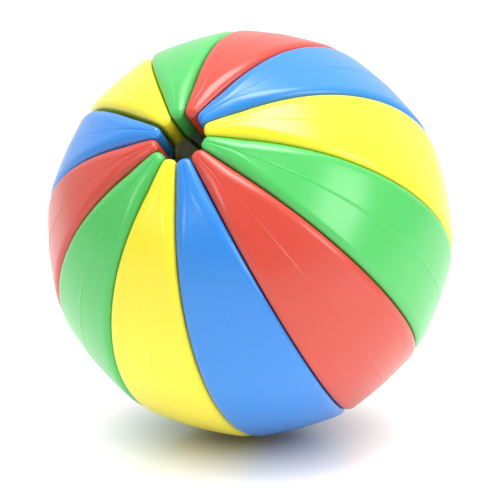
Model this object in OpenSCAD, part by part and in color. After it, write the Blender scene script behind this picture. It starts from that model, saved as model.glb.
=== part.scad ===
// Swivel-segment ball puzzle: twelve hollow wedge segments on eleven swivels.
// The polar axis is Z and the ball's centre is the origin.

/* [Ball] */
// Radius of the ball along each segment's middle line
ball_r = 38; // [34:1:42]
// Across-radius of a segment's outer face, as a multiple of the ball radius
crown_ratio = 1.8; // [1.4:0.2:4]
// Radius of the open channel at the poles
polar_r = 4.3; // [3.5:0.1:5]
// Radius of the hollow centre at the equator
core_r = 13.3; // [11:0.1:14]
// Height where the hollow centre meets the polar channel
core_z = 30.4; // [29:0.1:31]

/* [Shells] */
// Wall thickness of the half shells
wall = 1.6; // [1.2:0.1:1.8]
// Gap between two faces that a swivel joins
face_gap = 0.2; // [0.15:0.05:0.3]
// Gap between the two free ends of the chain
end_gap = 0.8; // [0.4:0.1:1.2]
// Radius of the locating pegs
peg_r = 1.2; // [1:0.1:1.4]
// Distance of the pegs from the polar axis
peg_x = 19; // [18:0.5:20]
// Height of the pegs above and below the equator
peg_z = 23; // [22:0.5:24]

/* [Swivels] */
// Distance of each swivel from the polar axis
swivel_x = 25.6; // [25:0.1:26.2]
// Radius of the spigot
spigot_r = 3; // [2.8:0.1:3]
// Radial clearance of the spigot in its bore
spigot_clear = 0.05; // [0.04:0.01:0.1]
// Length of the spigot from the boundary plane
spigot_len = 6.4; // [6:0.1:6.6]
// Radius of the screw's shank and of its hole
screw_r = 1.1; // [1:0.1:1.2]
// Radius of the screw's head
head_r = 2.8; // [2.5:0.1:2.8]
// Height of the screw's head
head_h = 1.6; // [1.4:0.1:1.8]
// Radius of the washer
washer_r = 4; // [3.8:0.1:4.1]
// Thickness of the washer
washer_h = 0.6; // [0.5:0.1:0.7]
// Diameter of the spring wire
wire_d = 0.6; // [0.5:0.05:0.6]
// Number of working turns of the spring
spring_turns = 4; // [3:1:5]

/* [Hidden] */
$fn = 96;
count = 12;
sector = 360 / count;
half_sector = sector / 2;
crown_r = ball_r * crown_ratio;
// The hollow centre is a lens turned about Z: an arc through the equator and the channel's ends
core_step = core_r - polar_r;
lens_r = (core_step * core_step + core_z * core_z) / (2 * core_step);
lens_x = core_r - lens_r;
// Inside the spigot: how deep the screw's hole and boss go behind the face
boss_r = 3.2;
boss_depth = 3.3;
screw_depth = 2.4;
thrust_r = 5;
// Locating pegs
peg_boss_r = 2.3;
peg_len = 2;
peg_clear = 0.05;
socket_extra = 0.4;
// A recess with flat ends for the screw's driver
drive_w = 0.7;
drive_l = 3.4;
drive_h = 0.8;
eps = 0.01;
big = 3 * ball_r;
RED = [0.86, 0.16, 0.13];
GREEN = [0.26, 0.78, 0.33];
YELLOW = [0.97, 0.90, 0.18];
BLUE = [0.16, 0.42, 0.85];
STEEL = [0.70, 0.71, 0.73];
ZINC = [0.60, 0.61, 0.63];
// Colours along the chain, from its first segment
order = [BLUE, RED, GREEN, YELLOW];

// Places a segment, drawn with its middle plane on +X, at its place in the ring.
// The first segment starts on the -X side and the chain runs anticlockwise.
module at_segment(i) {
  rotate([0, 0, 180 + (i - 0.5) * sector]) children();
}

// Places a swivel, drawn along +Y from the boundary plane y = 0, on the far side of segment i
module at_swivel(i) {
  rotate([0, 0, 180 + i * sector]) translate([swivel_x, 0, 0]) children();
}

// A cylinder along +Y that starts at y
module y_rod(r, y, h) {
  translate([0, y, 0]) rotate([-90, 0, 0]) cylinder(r = r, h = h);
}

// The crowned outer body: a barrel turned about Y, inset by t
module barrel(t) {
  rotate([90, 0, 0]) rotate_extrude() intersection() {
    translate([ball_r - crown_r, 0]) circle(r = crown_r - t);
    translate([0, -big / 2]) square([big, big]);
  }
}

// The hollow centre and the polar channel, grown by t
module core(t) {
  rotate_extrude() intersection() {
    translate([lens_x, 0]) circle(r = lens_r + t);
    translate([0, -big / 2]) square([big, big]);
  }
  translate([0, 0, -big / 2]) cylinder(r = polar_r + t, h = big);
}

// The half wedge on the low side of the middle plane, with its face inset by t
module half_wedge(t, mid) {
  intersection() {
    translate([0, -mid - big, -big / 2]) cube([big, big, big]);
    rotate([0, 0, -half_sector]) translate([-big, t, -big / 2]) cube([2 * big, big, big]);
  }
}

// The outer form of a half shell whose face is inset by gap
module half_form(gap) {
  difference() {
    intersection() {
      barrel(0);
      half_wedge(gap, 0);
    }
    core(0);
  }
}

// The room inside a half shell
module half_room(gap) {
  difference() {
    intersection() {
      barrel(wall);
      half_wedge(gap + wall, -eps);
    }
    core(wall);
  }
}

// Solid posts for the pegs and sockets, from the face plate to the middle plane
module peg_posts(gap) {
  intersection() {
    half_form(gap);
    for (z = [-peg_z, peg_z]) translate([peg_x, -big / 2, z]) y_rod(peg_boss_r, 0, big / 2);
  }
}

// A plain half shell on the low side, with its pegs
module low_shell(gap) {
  difference() {
    half_form(gap);
    half_room(gap);
  }
  peg_posts(gap);
  for (z = [-peg_z, peg_z]) translate([peg_x, 0, z]) y_rod(peg_r, -1, 1 + peg_len);
}

// Half shell a: the side that the swivel before it enters, with a bore if it has one
module shell_a(i) {
  first = i == 1;
  gap = (first ? end_gap : face_gap) / 2;
  difference() {
    low_shell(gap);
    if (!first) rotate([0, 0, -half_sector]) translate([swivel_x, 0, 0])
      y_rod(spigot_r + spigot_clear, -1, 1 + gap + wall + 1);
  }
}

// The side that carries the spigot, its thrust ring and its boss
module shell_b(i) {
  last = i == count;
  gap = (last ? end_gap : face_gap) / 2;
  difference() {
    union() {
      mirror([0, 1, 0]) difference() {
        half_form(gap);
        half_room(gap);
      }
      mirror([0, 1, 0]) peg_posts(gap);
      if (!last) rotate([0, 0, half_sector]) translate([swivel_x, 0, 0]) {
        y_rod(boss_r, -boss_depth, boss_depth - gap - wall / 2);
        y_rod(spigot_r, -gap - wall / 2, gap + wall / 2 + spigot_len);
        y_rod(thrust_r, -gap - eps, gap + eps + face_gap / 2);
      }
    }
    for (z = [-peg_z, peg_z]) translate([peg_x, 0, z])
      y_rod(peg_r + peg_clear, -1, 1 + peg_len + socket_extra);
    if (!last) rotate([0, 0, half_sector]) translate([swivel_x, 0, 0])
      y_rod(screw_r, -screw_depth, screw_depth + spigot_len + 1);
  }
}

module segment_a(i) {
  color(order[(i - 1) % 4]) at_segment(i) shell_a(i);
}

module segment_b(i) {
  color(order[(i - 1) % 4]) at_segment(i) shell_b(i);
}

// Pan-head screw, with a crossed recess, into the end of the spigot
module screw(i) {
  top = spigot_len + washer_h;
  color(STEEL) at_swivel(i) difference() {
    union() {
      y_rod(screw_r, -screw_depth, screw_depth + top + eps);
      y_rod(head_r, top, head_h);
    }
    for (a = [0, 90]) rotate([0, a, 0])
      translate([-drive_l / 2, top + head_h - drive_h, -drive_w / 2]) cube([drive_l, big, drive_w]);
  }
}

// Flat washer under the screw's head
module washer(i) {
  color(ZINC) at_swivel(i) difference() {
    y_rod(washer_r, spigot_len, washer_h);
    y_rod(screw_r + 0.1, spigot_len - 1, washer_h + 2);
  }
}

// Compression spring between the plate and the washer, as a swept wire with closed ends
spring_lo = face_gap / 2 + wall;
spring_hi = spigot_len;
spring_r = spigot_r + wire_d / 2 + 0.15;
wire_sides = 6;
ring_steps = 14;
end_turn = 1;
all_turns = spring_turns + 2 * end_turn;
rings = all_turns * ring_steps;
coil_rise = spring_hi - spring_lo - wire_d - 2 * eps;
// Share of the rise at turn t: the end turns lie almost flat
function rise(t) =
  t < end_turn ? 0.1 * t / end_turn :
  t > all_turns - end_turn ? 1 - 0.1 * (all_turns - t) / end_turn :
  0.1 + 0.8 * (t - end_turn) / spring_turns;
function coil_y(t) = spring_lo + wire_d / 2 + eps + coil_rise * rise(t);
function coil_point(t, a) =
  let (rr = spring_r + wire_d / 2 * cos(a))
  [rr * cos(360 * t), coil_y(t) + wire_d / 2 * sin(a), rr * sin(360 * t)];

module spring(i) {
  points = [
    for (k = [0 : rings]) for (j = [0 : wire_sides - 1])
      coil_point(k / ring_steps, 360 * j / wire_sides)
  ];
  sides = [
    for (k = [0 : rings - 1]) for (j = [0 : wire_sides - 1])
      let (n = (j + 1) % wire_sides, a = k * wire_sides, b = a + wire_sides)
      each [[a + j, b + j, a + n], [a + n, b + j, b + n]]
  ];
  start = [for (j = [0 : wire_sides - 1]) j];
  finish = [for (j = [wire_sides - 1 : -1 : 0]) rings * wire_sides + j];
  color(STEEL) at_swivel(i) polyhedron(points, concat(sides, [start, finish]));
}

module segment_01_shell_a() { segment_a(1); }
module segment_01_shell_b() { segment_b(1); }
module segment_02_shell_a() { segment_a(2); }
module segment_02_shell_b() { segment_b(2); }
module segment_03_shell_a() { segment_a(3); }
module segment_03_shell_b() { segment_b(3); }
module segment_04_shell_a() { segment_a(4); }
module segment_04_shell_b() { segment_b(4); }
module segment_05_shell_a() { segment_a(5); }
module segment_05_shell_b() { segment_b(5); }
module segment_06_shell_a() { segment_a(6); }
module segment_06_shell_b() { segment_b(6); }
module segment_07_shell_a() { segment_a(7); }
module segment_07_shell_b() { segment_b(7); }
module segment_08_shell_a() { segment_a(8); }
module segment_08_shell_b() { segment_b(8); }
module segment_09_shell_a() { segment_a(9); }
module segment_09_shell_b() { segment_b(9); }
module segment_10_shell_a() { segment_a(10); }
module segment_10_shell_b() { segment_b(10); }
module segment_11_shell_a() { segment_a(11); }
module segment_11_shell_b() { segment_b(11); }
module segment_12_shell_a() { segment_a(12); }
module segment_12_shell_b() { segment_b(12); }
module swivel_01_screw() { screw(1); }
module swivel_01_washer() { washer(1); }
module swivel_01_spring() { spring(1); }
module swivel_02_screw() { screw(2); }
module swivel_02_washer() { washer(2); }
module swivel_02_spring() { spring(2); }
module swivel_03_screw() { screw(3); }
module swivel_03_washer() { washer(3); }
module swivel_03_spring() { spring(3); }
module swivel_04_screw() { screw(4); }
module swivel_04_washer() { washer(4); }
module swivel_04_spring() { spring(4); }
module swivel_05_screw() { screw(5); }
module swivel_05_washer() { washer(5); }
module swivel_05_spring() { spring(5); }
module swivel_06_screw() { screw(6); }
module swivel_06_washer() { washer(6); }
module swivel_06_spring() { spring(6); }
module swivel_07_screw() { screw(7); }
module swivel_07_washer() { washer(7); }
module swivel_07_spring() { spring(7); }
module swivel_08_screw() { screw(8); }
module swivel_08_washer() { washer(8); }
module swivel_08_spring() { spring(8); }
module swivel_09_screw() { screw(9); }
module swivel_09_washer() { washer(9); }
module swivel_09_spring() { spring(9); }
module swivel_10_screw() { screw(10); }
module swivel_10_washer() { washer(10); }
module swivel_10_spring() { spring(10); }
module swivel_11_screw() { screw(11); }
module swivel_11_washer() { washer(11); }
module swivel_11_spring() { spring(11); }

segment_01_shell_a();
segment_01_shell_b();
segment_02_shell_a();
segment_02_shell_b();
segment_03_shell_a();
segment_03_shell_b();
segment_04_shell_a();
segment_04_shell_b();
segment_05_shell_a();
segment_05_shell_b();
segment_06_shell_a();
segment_06_shell_b();
segment_07_shell_a();
segment_07_shell_b();
segment_08_shell_a();
segment_08_shell_b();
segment_09_shell_a();
segment_09_shell_b();
segment_10_shell_a();
segment_10_shell_b();
segment_11_shell_a();
segment_11_shell_b();
segment_12_shell_a();
segment_12_shell_b();
swivel_01_screw();
swivel_01_washer();
swivel_01_spring();
swivel_02_screw();
swivel_02_washer();
swivel_02_spring();
swivel_03_screw();
swivel_03_washer();
swivel_03_spring();
swivel_04_screw();
swivel_04_washer();
swivel_04_spring();
swivel_05_screw();
swivel_05_washer();
swivel_05_spring();
swivel_06_screw();
swivel_06_washer();
swivel_06_spring();
swivel_07_screw();
swivel_07_washer();
swivel_07_spring();
swivel_08_screw();
swivel_08_washer();
swivel_08_spring();
swivel_09_screw();
swivel_09_washer();
swivel_09_spring();
swivel_10_screw();
swivel_10_washer();
swivel_10_spring();
swivel_11_screw();
swivel_11_washer();
swivel_11_spring();
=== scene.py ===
"""Looks of the ball-shaped snake puzzle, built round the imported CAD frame. +Z is the polar axis.
Sizes are in millimetres, and MM turns them into Blender's metres."""
import math

import bmesh
import bpy
import numpy as np
from mathutils import Matrix, Vector


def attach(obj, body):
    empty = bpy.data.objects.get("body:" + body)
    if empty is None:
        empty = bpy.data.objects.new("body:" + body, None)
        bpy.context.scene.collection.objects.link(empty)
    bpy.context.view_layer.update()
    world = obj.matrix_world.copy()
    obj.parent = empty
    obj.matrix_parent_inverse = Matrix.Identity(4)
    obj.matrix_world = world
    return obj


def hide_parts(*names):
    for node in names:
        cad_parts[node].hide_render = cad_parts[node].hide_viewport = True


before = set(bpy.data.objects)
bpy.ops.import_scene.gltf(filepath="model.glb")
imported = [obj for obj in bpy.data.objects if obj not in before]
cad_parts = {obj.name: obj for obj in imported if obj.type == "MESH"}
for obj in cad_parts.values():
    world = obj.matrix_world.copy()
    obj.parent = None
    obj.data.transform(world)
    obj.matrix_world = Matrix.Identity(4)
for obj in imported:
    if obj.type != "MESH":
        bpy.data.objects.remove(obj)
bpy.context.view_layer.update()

MM = 0.001
# Ball, as in the CAD
BALL_R = 38.0
CROWN_R = 1.8 * BALL_R
POLAR_R = 4.3
CORE_R = 13.3
CORE_Z = 30.4
WALL = 1.6
SEGMENTS = 12
HALF = math.radians(15)
SWIVEL_X = 25.6
LENS_R = ((CORE_R - POLAR_R) ** 2 + CORE_Z ** 2) / (2 * (CORE_R - POLAR_R))
LENS_X = CORE_R - LENS_R
# Pegs, swivels and gaps, as in the CAD
PEG_X, PEG_Z, PEG_R, PEG_LEN, POST_R = 19.0, 23.0, 1.2, 2.0, 2.3
SPIGOT_R, SPIGOT_LEN, BORE_R, BOSS_R, BOSS_DEPTH = 3.0, 6.4, 3.05, 3.2, 3.3
SCREW_R, SCREW_DEPTH, THRUST_R, FACE_GAP, END_GAP = 1.1, 2.4, 5.0, 0.2, 0.8
PEG_CLEAR, PEG_SPARE = 0.05, 0.4
# How far posts, rings, spigots and other tools start inside the part that they join or cut
POST_ROOT, RING_ROOT, SPIGOT_ROOT, OVERLAP = 0.25, 0.3, 0.5, 1.0
# How far the bore's tool reaches, past the wall
BORE_CUT = 3.0

# Rounding of the segments' edges. The outer edge is flatter than a quarter round, down the side.
EDGE_R, EDGE_DEPTH = 1.5, 0.6
# Its radius grows by up to TIP_EXTRA where the half width is below TIP_WIDTH, over TIP_EASE
TIP_EXTRA, TIP_WIDTH, TIP_EASE = 1.2, 6.5, 4
INNER_EDGE_R = 0.5
NOSE_R = 1.5
# Height and half width of the raised line along the seam
SEAM_H, SEAM_W = 0.06, 0.15
# The line fades where the half width is below this
SEAM_FADE = 2.0
# Half widths below SLIVER are drawn at SLIVER_W, so that the tips stay closed
SLIVER, SLIVER_W = 0.02, 0.01
# Points along each part of a section's outline, and along the cavity's
N_FACE, N_EDGE, N_SIDE, N_LOW, N_WALL = 12, 9, 10, 5, 5
N_ROOM_TOP, N_ROOM_SIDE, N_ROOM_WALL = 7, 6, 5
# Stations round each nose, between nose and body, and along half of the body
N_NOSE, N_NECK, N_BODY = 9, 8, 34
# About how far the outer face is from a section's pivot, where the searches start
START_REACH, ROOM_REACH = 33.0, 30.0
# Rounds of the search for the corner where two faces meet, and for the inner wall
ROUNDS, HALVINGS = 12, 40
# Sides of the pegs, swivels and screw holes
PEG_SIDES, SWIVEL_SIDES, SCREW_SIDES = 40, 96, 48

# ---------------------------------------------------------------- camera
SENSOR = 36.0
LENS = 187.95
# The ball's centre as the camera sees it: right, up and ahead (negative)
BALL_SEEN = (0.908, 3.179, -493.99)
# Turn of the camera away from looking down the polar axis, as a rotation vector, and its roll
LEAN = (0.369, 0.481, 0.546)
ROLL = 0.008
CLIP = (0.01, 20)


def add_object(name, data):
    obj = bpy.data.objects.new(name, data)
    bpy.context.scene.collection.objects.link(obj)
    return obj


def make_camera():
    """A long lens from above the near pole's side. Returns the camera's turn."""
    lean = Vector(LEAN)
    turn = Matrix.Rotation(ROLL, 3, "Z") @ Matrix.Rotation(lean.length, 3, lean.normalized())
    data = bpy.data.cameras.new("camera")
    data.sensor_width = SENSOR
    data.lens = LENS
    data.clip_start, data.clip_end = CLIP
    camera = add_object("camera", data)
    camera.matrix_world = Matrix.Translation(turn @ -Vector(BALL_SEEN) * MM) @ turn.to_4x4()
    bpy.context.scene.camera = camera
    return turn


cam_turn = make_camera()


# ---------------------------------------------------------------- half shells

def barrel_r(y):
    """Radius from the polar axis at offset y: the crowned outer face."""
    return BALL_R - CROWN_R + np.sqrt(CROWN_R ** 2 - y ** 2)


def outer_q(psi, y):
    """Distance from the fan's pivot (POLAR_R, 0, 0) to the outer face, at angle psi and offset y.
    The face drops in a quarter round at the nose."""
    q = -POLAR_R * math.cos(psi) + np.sqrt(barrel_r(y) ** 2 - (POLAR_R * math.sin(psi)) ** 2)
    short = np.maximum(NOSE_R - q * math.cos(psi), 0)
    return q - NOSE_R + np.sqrt(np.maximum(NOSE_R ** 2 - short ** 2, 0))


def inner_q(psi, y, grow=0.0):
    """Distance from the pivot to the inner wall."""
    y = np.asarray(y, float)
    lo, hi = np.zeros_like(y), np.full_like(y, BALL_R)
    for _ in range(HALVINGS):
        q = (lo + hi) / 2
        x, z = POLAR_R + q * math.cos(psi), q * math.sin(psi)
        rho = np.sqrt(x ** 2 + y ** 2)
        wall = LENS_X + np.sqrt(np.maximum((LENS_R + grow) ** 2 - z ** 2, 0))
        out = rho > wall
        hi = np.where(out, q, hi)
        lo = np.where(out, lo, q)
    return (lo + hi) / 2


def half_width(x, gap, nose=True):
    """Half the segment's width at distance x from the polar axis, with the rounded nose at the tip."""
    flat = (x * math.sin(HALF) - gap) / math.cos(HALF)
    if not nose:
        return flat
    nose_x = (POLAR_R - gap) / (1 - math.sin(HALF))
    nose_r = nose_x - POLAR_R
    round_ = np.sqrt(np.maximum(nose_r ** 2 - (x - nose_x) ** 2, 0))
    return np.where(x < nose_x - nose_r * math.sin(HALF), round_, flat)


def stations():
    """Fan angles from one tip to the other: close together at the noses."""
    nose_turn = math.radians(80)
    neck_start, neck_end = 0.3, 5.0
    nose_x = POLAR_R / (1 - math.sin(HALF))
    nose_r = nose_x - POLAR_R
    across = [nose_r * (1 - math.cos(a)) for a in np.linspace(0, nose_turn, N_NOSE)]
    across += list(np.linspace(across[-1] + neck_start, neck_end, N_NECK))
    angles = [math.acos(u / START_REACH) for u in across]
    up = angles + list(np.linspace(angles[-1], 0, N_BODY))[1:]
    return np.array(up + [-a for a in reversed(up[:-1])])


def unit(vec):
    return vec / np.linalg.norm(vec)


def fillet(before, corner, after, radius, count, depth=1.0):
    """Points of an arc that rounds the corner between two straight sides. A depth below 1 squeezes the
    arc along the second side."""
    a, b = unit(before - corner), unit(after - corner)
    angle = math.acos(max(-1, min(1, float(a @ b))))
    cut = radius / math.tan(angle / 2)
    centre = corner + unit(a + b) * radius / math.sin(angle / 2)
    v0, v1 = corner + a * cut - centre, corner + b * cut - centre
    sweep = math.pi - angle
    side = 1 if v0[0] * v1[1] - v0[1] * v1[0] > 0 else -1
    squeeze = np.column_stack([a, b * depth]) @ np.linalg.inv(np.column_stack([a, b]))
    out = []
    for t in np.linspace(0, 1, count):
        c, s = math.cos(side * sweep * t), math.sin(side * sweep * t)
        arc = centre + np.array([c * v0[0] - s * v0[1], s * v0[0] + c * v0[1]])
        out.append(corner + squeeze @ (arc - corner))
    return out


def meet(reach_of, width_at, width):
    """Where a face meets the flat side: the distance and the half width, found by going to and fro."""
    for _ in range(ROUNDS):
        reach = reach_of(width)
        width = width_at(reach)
    return reach, width


def eased(face_q, y, y_end, q_end, t):
    """A point of a face, eased onto the rounded edge's end (q_end, y_end) as t goes to 1."""
    q = float(face_q(y))
    q += (q_end - float(face_q(y_end))) * t ** 4
    return np.array([q, y])


def section(psi, gap):
    """The half shell's outline at fan angle psi, from the seam on the outer face round to the seam
    on the inner wall. Each point is (distance from the pivot, half width offset)."""
    cosp = math.cos(psi)

    def width_at(q):
        return float(half_width(POLAR_R + q * cosp, gap))

    def outer(y):
        return float(outer_q(psi, y))

    def inner(y):
        return float(inner_q(psi, y))

    q_high, w_high = meet(outer, width_at, width_at(START_REACH))
    q_low, w_low = meet(inner, width_at, w_high)
    if w_high < SLIVER:
        w_high = w_low = SLIVER_W
    corner, low = np.array([q_high, w_high]), np.array([q_low, w_low])
    span = q_high - q_low
    tipness = max(0.0, min(1.0, (TIP_WIDTH - w_high) / TIP_EASE))
    # no rounding is larger than its sides have room for
    r_top = min(EDGE_R + TIP_EXTRA * tipness, 0.9 * w_high, 0.45 * span)
    r_low = min(INNER_EDGE_R, 0.5 * w_low, 0.2 * span)
    step = 0.02
    slope = (outer(w_high * (1 - step)) - q_high) / (w_high * step)
    top = fillet(corner + np.array([slope, -1.0]), corner, low, r_top, N_EDGE, EDGE_DEPTH)
    bottom = fillet(corner, low, low + np.array([0.0, -1.0]), r_low, N_LOW)
    face = [eased(outer, top[0][1] * t, top[0][1], top[0][0], t)
            for t in np.linspace(0, 1, N_FACE + 1)[:-1]]
    side = [top[-1] + (bottom[0] - top[-1]) * t for t in np.linspace(0, 1, N_SIDE + 2)[1:-1]]
    wall = [eased(inner, bottom[-1][1] * (1 - t), bottom[-1][1], bottom[-1][0], 1 - t)
            for t in np.linspace(0, 1, N_WALL + 1)[1:]]
    # the seam: a fine raised line where the half shells meet on the outer face
    side_y = min(SEAM_W, 0.5 * face[1][1])
    face.insert(1, np.array([outer(side_y), side_y]))
    face[0] = np.array([face[0][0] + SEAM_H * min(1.0, w_high / SEAM_FADE), 0.0])
    return np.array(face + top + side + bottom + wall)


def room(psi, gap):
    """The cavity's outline at fan angle psi, or None where the wall fills the segment."""
    least_width, least_depth = 0.5, 2
    cosp = math.cos(psi)

    def width_at(q):
        return float(half_width(POLAR_R + q * cosp, gap + WALL, nose=False))

    def outer(y):
        return float(outer_q(psi, y)) - WALL

    def inner(y):
        return float(inner_q(psi, y, WALL))

    q_high, w_high = meet(outer, width_at, width_at(ROOM_REACH))
    q_low, w_low = meet(lambda w: inner(max(w, 0)), width_at, w_high)
    if w_low < least_width or q_high - q_low < least_depth:
        return None
    high, low = np.array([q_high, w_high]), np.array([q_low, w_low])
    points = [np.array([outer(w_high * t), w_high * t]) for t in np.linspace(0, 1, N_ROOM_TOP)]
    points += [high + (low - high) * t for t in np.linspace(0, 1, N_ROOM_SIDE)[1:]]
    points += [np.array([inner(w_low * t), w_low * t]) for t in np.linspace(1, 0, N_ROOM_WALL)[1:]]
    return np.array(points)


def to_xyz(psi, points):
    q, y = points[:, 0], points[:, 1]
    return np.stack([POLAR_R + q * math.cos(psi), -y, q * math.sin(psi)], 1)


def middle_faces(grid, cavity, k, first, last):
    """The corners of the face between stations k and k + 1, in the middle plane, where it isn't split
    round the cavity."""
    a, b = grid[k], grid[k + 1]
    if k == first - 1:
        return (a[0], b[0], cavity[first][0], cavity[first][-1], b[-1], a[-1])
    if k == last:
        return (a[0], b[0], b[-1], a[-1], cavity[last][-1], cavity[last][0])
    return (a[0], b[0], b[-1], a[-1])


def shell_mesh(name, gap):
    """A hollow half shell on the low side (y < 0) of its segment's middle plane."""
    psis = stations()
    sections = [to_xyz(psi, section(psi, gap)) for psi in psis]
    rooms = [room(psi, gap) for psi in psis]
    inside = [k for k, outline in enumerate(rooms) if outline is not None]
    first, last = inside[0], inside[-1]
    bm = bmesh.new()
    grid = [[bm.verts.new(v * MM) for v in row] for row in sections]
    cavity = {k: [bm.verts.new(v * MM) for v in to_xyz(psis[k], rooms[k])]
              for k in range(first, last + 1)}
    for a, b in zip(grid, grid[1:]):
        for j in range(len(a) - 1):
            bm.faces.new((a[j], a[j + 1], b[j + 1], b[j]))
    for k in range(first, last):
        a, b = cavity[k], cavity[k + 1]
        for j in range(len(a) - 1):
            bm.faces.new((a[j], b[j], b[j + 1], a[j + 1]))
        bm.faces.new((grid[k][0], grid[k + 1][0], b[0], a[0]))
        bm.faces.new((grid[k][-1], a[-1], b[-1], grid[k + 1][-1]))
    bm.faces.new(list(reversed(cavity[first])))
    bm.faces.new(cavity[last])
    for k in range(len(grid) - 1):
        if k < first or k >= last:
            bm.faces.new(middle_faces(grid, cavity, k, first, last))
    # the two ends are slivers at the noses
    bm.faces.new(grid[0])
    bm.faces.new(grid[-1])
    bmesh.ops.recalc_face_normals(bm, faces=bm.faces)
    return to_mesh(bm, name)


def to_mesh(bm, name):
    mesh = bpy.data.meshes.new(name)
    bm.to_mesh(mesh)
    bm.free()
    return mesh


def rod(name, radius, y0, y1, x=0.0, z=0.0, turn=0.0, sides=64):
    """A closed cylinder along +Y from y0 to y1, moved to (x, z), then turned about Z."""
    bm = bmesh.new()
    bmesh.ops.create_cone(bm, cap_ends=True, segments=sides, radius1=radius * MM, radius2=radius * MM,
                          depth=(y1 - y0) * MM)
    place_rod = (Matrix.Rotation(turn, 4, "Z")
                 @ Matrix.Translation(Vector((x, (y0 + y1) / 2, z)) * MM)
                 @ Matrix.Rotation(-math.pi / 2, 4, "X"))
    bmesh.ops.transform(bm, matrix=place_rod, verts=bm.verts)
    return to_mesh(bm, name)


def combine(mesh, tools):
    """Joins ("UNION", mesh) or cuts ("DIFFERENCE", mesh) each tool, and returns the result."""
    base = add_object("work", mesh)
    for kind, tool_mesh in tools:
        tool = add_object("tool", tool_mesh)
        mod = base.modifiers.new("cut", "BOOLEAN")
        mod.operation, mod.object, mod.solver = kind, tool, "EXACT"
        bpy.context.view_layer.update()
        deps = bpy.context.evaluated_depsgraph_get()
        made = bpy.data.meshes.new_from_object(base.evaluated_get(deps))
        base.modifiers.clear()
        base.data = made
        bpy.data.objects.remove(tool)
    out = base.data
    bpy.data.objects.remove(base)
    return out


def posts(kind, name, radius, y0, y1, sides=64):
    """One tool at each of the segment's two peg places."""
    return [(kind, rod(name, radius, y0, y1, PEG_X, z, sides=sides)) for z in (-PEG_Z, PEG_Z)]


def low_side(gap):
    """The low-side half shell with its posts; both halves start from it."""
    foot = -((PEG_X - POST_R) * math.sin(HALF) - gap) / math.cos(HALF) + POST_ROOT
    return combine(shell_mesh("half_shell", gap), posts("UNION", "post", POST_R, foot, 0.0))


def shell_a(bore):
    mesh = low_side((FACE_GAP if bore else END_GAP) / 2)
    tools = posts("UNION", "peg", PEG_R, -OVERLAP, PEG_LEN, sides=PEG_SIDES)
    if bore:
        bore_tool = rod("bore", BORE_R, -OVERLAP, BORE_CUT, SWIVEL_X, 0, -HALF, SWIVEL_SIDES)
        tools.append(("DIFFERENCE", bore_tool))
    return combine(mesh, tools)


def shell_b(spigot):
    mesh = low_side((FACE_GAP if spigot else END_GAP) / 2)
    mesh.transform(Matrix.Scale(-1, 4, (0, 1, 0)))
    mesh.flip_normals()
    tools = []
    if spigot:
        inset = FACE_GAP / 2
        rods = [("UNION", "boss", BOSS_R, -BOSS_DEPTH, -inset - WALL / 2, SWIVEL_SIDES),
                ("UNION", "ring", THRUST_R, -inset - RING_ROOT, inset, SWIVEL_SIDES),
                ("UNION", "spigot", SPIGOT_R, -inset - SPIGOT_ROOT, SPIGOT_LEN, SWIVEL_SIDES),
                ("DIFFERENCE", "pilot", SCREW_R, -SCREW_DEPTH, SPIGOT_LEN + OVERLAP, SCREW_SIDES)]
        tools = [(kind, rod(name, radius, y0, y1, SWIVEL_X, 0, HALF, sides))
                 for kind, name, radius, y0, y1, sides in rods]
    tools += posts("DIFFERENCE", "socket", PEG_R + PEG_CLEAR, -OVERLAP, PEG_LEN + PEG_SPARE,
                   sides=PEG_SIDES)
    return combine(mesh, tools)


def place(mesh, name, segment):
    """A canonical mesh moved to its segment's place in the ring."""
    data = mesh.copy()
    data.name = name
    data.transform(Matrix.Rotation(math.pi + 2 * HALF * (segment - 0.5), 4, "Z"))
    return add_object(name, data)


def smooth(mesh, degrees):
    """Shades a mesh smooth but for the edges sharper than an angle."""
    bm = bmesh.new()
    bm.from_mesh(mesh)
    limit = math.radians(degrees)
    for face in bm.faces:
        face.smooth = True
    for edge in bm.edges:
        edge.smooth = len(edge.link_faces) == 2 and edge.calc_face_angle(0) < limit
    bm.to_mesh(mesh)
    bm.free()


# ---------------------------------------------------------------- materials
def add_node(nodes, kind, values=None, **settings):
    """A new node with its input values (by socket name) and its own settings."""
    node = nodes.new(kind)
    for name, value in settings.items():
        setattr(node, name, value)
    for name, value in (values or {}).items():
        node.inputs[name].default_value = value
    return node


def new_material(name):
    """A node material. Returns it with its nodes, its links and its shader."""
    mat = bpy.data.materials.new(name)
    mat.use_nodes = True
    nodes, links = mat.node_tree.nodes, mat.node_tree.links
    return mat, nodes, links, nodes["Principled BSDF"]


def noise(nodes, links, values):
    """Noise in the object's own coordinates."""
    coord = nodes.new("ShaderNodeTexCoord")
    made = add_node(nodes, "ShaderNodeTexNoise", values)
    links.new(coord.outputs["Object"], made.inputs["Vector"])
    return made


def tint(nodes, links, source, shader, dark, light, ends=(0.0, 1.0)):
    """Colour between two shades, by a noise."""
    ramp = nodes.new("ShaderNodeValToRGB")
    for element, colour, position in zip(ramp.color_ramp.elements, (dark, light), ends):
        element.position = position
        element.color = (*colour, 1)
    links.new(source.outputs["Fac"], ramp.inputs["Fac"])
    links.new(ramp.outputs["Color"], shader.inputs["Base Color"])


def gloss(nodes, links, source, shader, smoothest, roughest):
    """Roughness between two values, by a noise."""
    span = add_node(nodes, "ShaderNodeMapRange", {"To Min": smoothest, "To Max": roughest})
    links.new(source.outputs["Fac"], span.inputs["Value"])
    links.new(span.outputs["Result"], shader.inputs["Roughness"])


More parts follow.
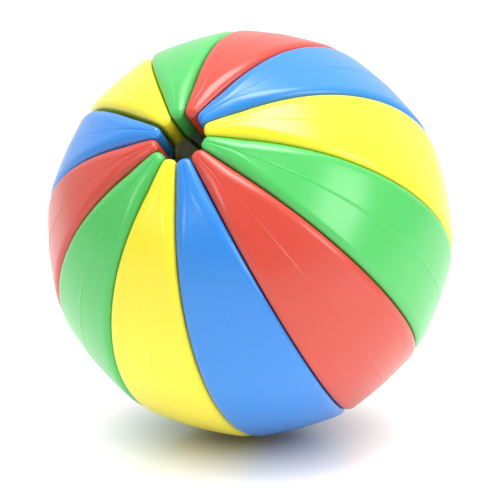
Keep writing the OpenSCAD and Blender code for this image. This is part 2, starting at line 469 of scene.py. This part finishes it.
def plastic(name, base, deep):
    """Moulded gloss plastic: fine variation in colour and gloss, and a fine grain."""
    mat, nodes, links, shader = new_material(name)
    cloud = noise(nodes, links, {"Scale": 45, "Detail": 3})
    tint(nodes, links, cloud, shader, deep, base, ends=(0.35, 0.7))
    grain = noise(nodes, links, {"Scale": 260, "Detail": 4})
    gloss(nodes, links, grain, shader, 0.29, 0.36)
    bump = add_node(nodes, "ShaderNodeBump", {"Strength": 0.03, "Distance": 0.0002})
    links.new(grain.outputs["Fac"], bump.inputs["Height"])
    links.new(bump.outputs["Normal"], shader.inputs["Normal"])
    shader.inputs["IOR"].default_value = 1.5
    shader.inputs["Coat Weight"].default_value = 0.15
    shader.inputs["Coat Roughness"].default_value = 0.15
    return mat


def metal(name, base, rough):
    """Steel with a fine grain in its shade and gloss."""
    mat, nodes, links, shader = new_material(name)
    shader.inputs["Metallic"].default_value = 1.0
    grain = noise(nodes, links, {"Scale": 900})
    tint(nodes, links, grain, shader, [c * 0.8 for c in base], base)
    gloss(nodes, links, grain, shader, rough * 0.8, rough * 1.2)
    return mat


PLASTICS = {
    "blue": plastic("blue_plastic", (0.030, 0.245, 0.720), (0.026, 0.232, 0.695)),
    "red": plastic("red_plastic", (0.630, 0.066, 0.040), (0.605, 0.060, 0.036)),
    "green": plastic("green_plastic", (0.080, 0.540, 0.120), (0.072, 0.515, 0.110)),
    "yellow": plastic("yellow_plastic", (0.920, 0.790, 0.030), (0.900, 0.765, 0.026)),
}
METALS = {
    "screw": metal("screw_steel", (0.62, 0.62, 0.64), 0.30),
    "washer": metal("washer_steel", (0.66, 0.66, 0.67), 0.38),
    "spring": metal("spring_steel", (0.50, 0.50, 0.52), 0.28),
}
ORDER = ["blue", "red", "green", "yellow"]
# Edges sharper than this stay sharp in the shading
SHARP_DEGREES = 32

canonical = {
    "a": shell_a(True), "a_end": shell_a(False),
    "b": shell_b(True), "b_end": shell_b(False),
}
for mesh in canonical.values():
    smooth(mesh, SHARP_DEGREES)

for segment in range(1, SEGMENTS + 1):
    colour = ORDER[(segment - 1) % len(ORDER)]
    for side in "ab":
        end = (side == "a" and segment == 1) or (side == "b" and segment == SEGMENTS)
        node = f"segment_{segment:02d}_shell_{side}"
        piece = place(canonical[side + ("_end" if end else "")], f"{node}_finished", segment)
        piece.data.materials.clear()
        piece.data.materials.append(PLASTICS[colour])
        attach(piece, f"segment_{segment:02d}")
        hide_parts(node)

for name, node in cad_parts.items():
    kind = name.split("_")[2]
    if kind in METALS:
        node.data.materials.clear()
        node.data.materials.append(METALS[kind])

# ---------------------------------------------------------------- table, light and world
# How far the table's up direction leans towards the camera
PITCH = math.radians(15)
table_up = (cam_turn @ Vector((0, math.cos(PITCH), math.sin(PITCH)))).normalized()
right = (cam_turn @ Vector((1, 0, 0))).normalized()
toward = right.cross(table_up).normalized()
# The table stands just clear of the ball
TABLE_R, TABLE_DROP = 0.6, 0.9
table_centre = -table_up * (BALL_R + TABLE_DROP) * MM
WHITE = (1, 1, 1, 1)


def scene_point(x, y, z):
    """x to the right, y up from the table's plane through the ball's centre, z towards the viewer."""
    return (right * x + table_up * y + toward * z)


def table_material():
    """White, with a painted contact shadow: the table glows, with no glow right under the ball, rising
    to a bright white glow away from it. It is clear from underneath, so that it hides nothing."""
    mat, nodes, links, shader = new_material("white_table")
    shader.inputs["Base Color"].default_value = (0.50, 0.50, 0.50, 1)
    shader.inputs["Roughness"].default_value = 0.22
    shader.inputs["Specular IOR Level"].default_value = 0.35
    shader.inputs["Emission Color"].default_value = WHITE
    coord = nodes.new("ShaderNodeTexCoord")
    apart = add_node(nodes, "ShaderNodeVectorMath", operation="DISTANCE")
    apart.inputs[1].default_value = table_centre
    links.new(coord.outputs["Object"], apart.inputs[0])
    # painted contact shadow: no glow within 7 mm of the point under the ball, rising to 0.8 by 40 mm
    # away
    sweep = add_node(nodes, "ShaderNodeMapRange", {"From Min": 0.007, "From Max": 0.040,
                                                   "To Min": 0.0, "To Max": 0.80},
                     interpolation_type="SMOOTHSTEP")
    links.new(apart.outputs["Value"], sweep.inputs["Value"])
    links.new(sweep.outputs["Result"], shader.inputs["Emission Strength"])
    geometry = nodes.new("ShaderNodeNewGeometry")
    clear = nodes.new("ShaderNodeBsdfTransparent")
    mix = nodes.new("ShaderNodeMixShader")
    links.new(geometry.outputs["Backfacing"], mix.inputs["Fac"])
    links.new(shader.outputs["BSDF"], mix.inputs[1])
    links.new(clear.outputs["BSDF"], mix.inputs[2])
    links.new(mix.outputs["Shader"], nodes["Material Output"].inputs["Surface"])
    return mat


def make_table():
    bm = bmesh.new()
    bmesh.ops.create_circle(bm, cap_ends=True, segments=96, radius=TABLE_R)
    turn = Vector((0, 0, 1)).rotation_difference(table_up).to_matrix().to_4x4()
    bmesh.ops.transform(bm, matrix=Matrix.Translation(table_centre) @ turn, verts=bm.verts)
    mesh = to_mesh(bm, "table_top")
    obj = add_object("table_top", mesh)
    mesh.materials.append(table_material())


def area(name, at, size, power):
    """A rectangular lamp that faces the ball. Size in metres, power in watts."""
    data = bpy.data.lights.new(name, "AREA")
    data.shape = "RECTANGLE"
    data.size, data.size_y = size
    data.energy = power
    obj = add_object(name, data)
    obj.location = at
    obj.rotation_mode = "QUATERNION"
    obj.rotation_quaternion = (-at).to_track_quat("-Z", "Y")


def make_world():
    """A studio that is bright behind and above the ball, for the sheen on the surfaces seen at a
    slant. Seen past the table's edge, it is plain white."""
    world = bpy.data.worlds.new("studio")
    world.use_nodes = True
    nodes, links = world.node_tree.nodes, world.node_tree.links
    studio = nodes["Background"]
    studio.inputs["Color"].default_value = WHITE
    way = nodes.new("ShaderNodeTexCoord")
    facing = add_node(nodes, "ShaderNodeVectorMath", operation="DOT_PRODUCT")
    facing.inputs[1].default_value = scene_point(-0.1, 0.6, -0.8).normalized()
    links.new(way.outputs["Generated"], facing.inputs[0])
    glow = add_node(nodes, "ShaderNodeMapRange", {"From Min": -0.3, "From Max": 0.9,
                                                  "To Min": 0.30, "To Max": 1.0},
                    interpolation_type="SMOOTHSTEP")
    links.new(facing.outputs["Value"], glow.inputs["Value"])
    links.new(glow.outputs["Result"], studio.inputs["Strength"])
    ray = nodes.new("ShaderNodeLightPath")
    plain = add_node(nodes, "ShaderNodeBackground", {"Color": WHITE})
    either = nodes.new("ShaderNodeMixShader")
    links.new(ray.outputs["Is Camera Ray"], either.inputs["Fac"])
    links.new(studio.outputs["Background"], either.inputs[1])
    links.new(plain.outputs["Background"], either.inputs[2])
    links.new(either.outputs["Shader"], nodes["World Output"].inputs["Surface"])
    bpy.context.scene.world = world


make_table()
area("overhead", scene_point(0.05, 0.45, 0.05), (0.28, 0.20), 1.9)
area("front_left", scene_point(-0.45, 0.22, 0.45), (0.14, 0.18), 0.6)
area("front_right", scene_point(0.44, 0.22, 0.30), (0.26, 0.24), 1.3)
make_world()
bpy.context.scene.view_settings.view_transform = "Standard"
